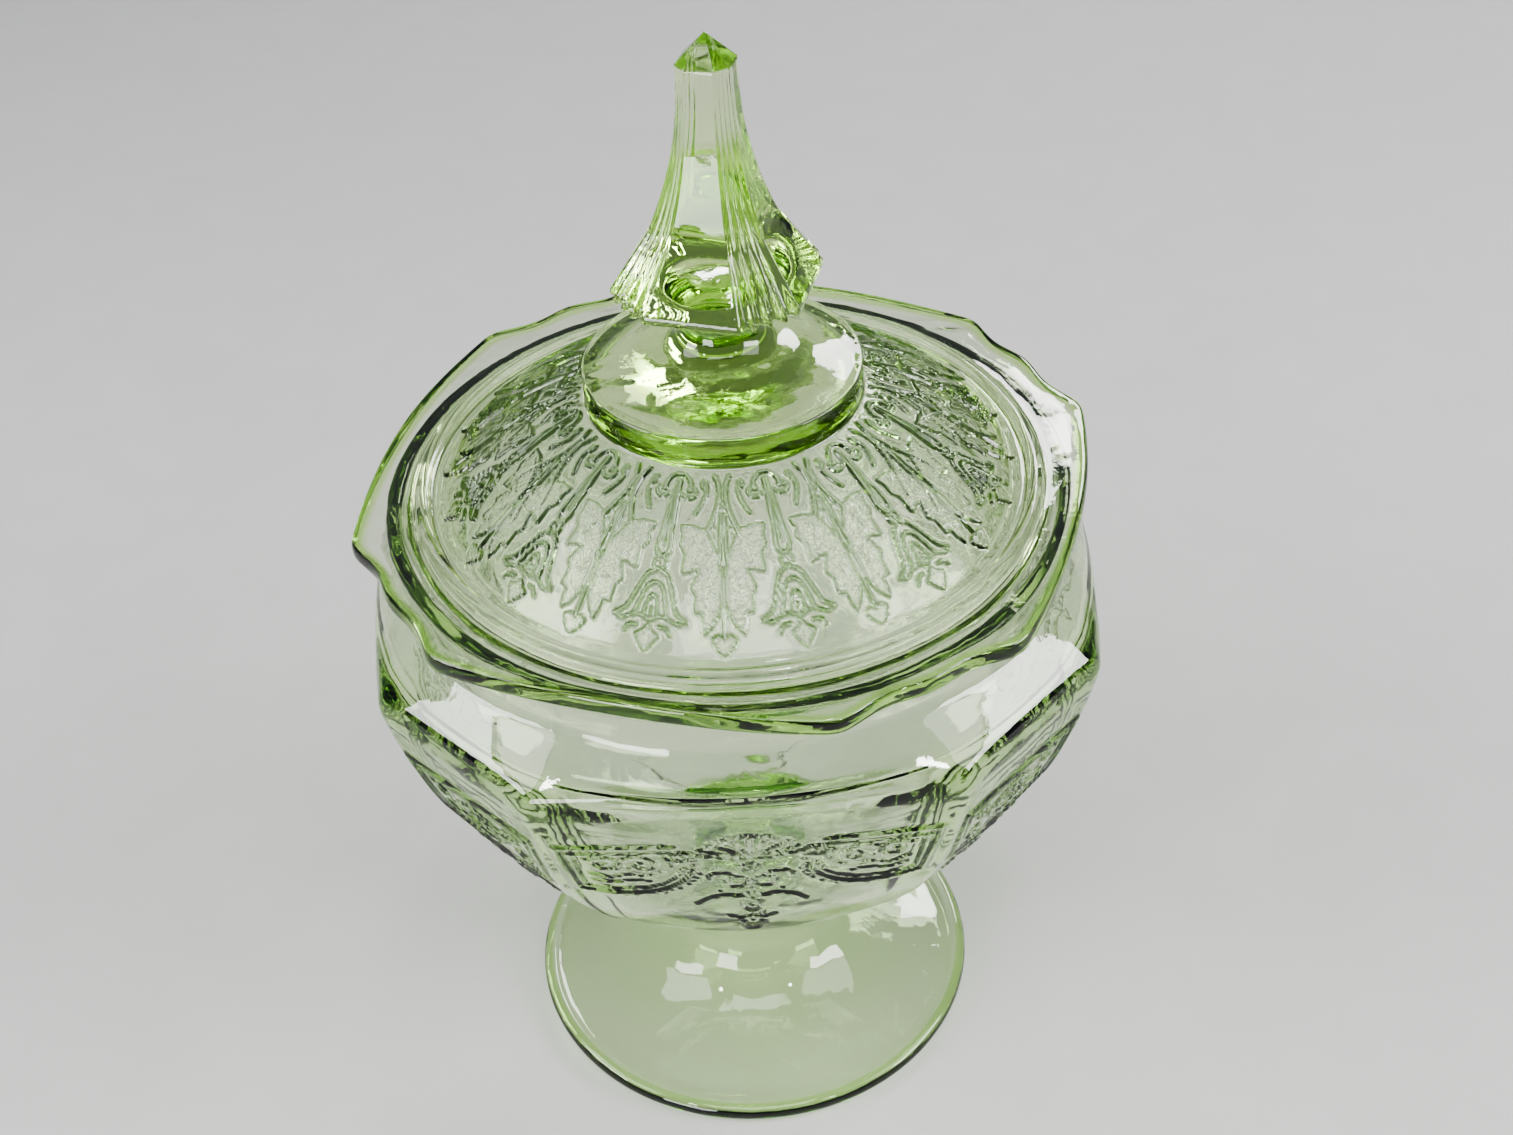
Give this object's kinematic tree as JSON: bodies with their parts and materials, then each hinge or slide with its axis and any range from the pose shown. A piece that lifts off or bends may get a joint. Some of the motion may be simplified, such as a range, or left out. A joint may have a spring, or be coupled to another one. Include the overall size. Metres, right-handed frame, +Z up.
{
  "type": "footed candy dish with lid",
  "caption": "Footed pressed-glass candy dish: an eight-sided bowl on a hollow foot, and a lift-off domed lid with a fluted spire finial.",
  "frame": {"origin": "centre of the foot's underside, on the surface that the dish stands on", "axes": "+Z up along the dish's axis to the finial's tip; -Y faces the middle of one of the bowl's long sides, +X the next long side anticlockwise from above"},
  "size_m": [0.1336, 0.1336, 0.2158],
  "materials": {
    "bowl_glass": "glossy, pale green, clear where it is thin",
    "lid_glass": "glossy, pale green, yellow green where it is thick"
  },
  "bodies": {
    "bowl": {"footed_bowl": "bowl_glass"},
    "lid": {"lid": "lid_glass"}
  },
  "joints": [
    {"name": "lid_lift", "type": "slide", "parent": "bowl", "child": "lid", "axis": [0, 0, 1], "range_m": [0, 0.1]}
  ]
}
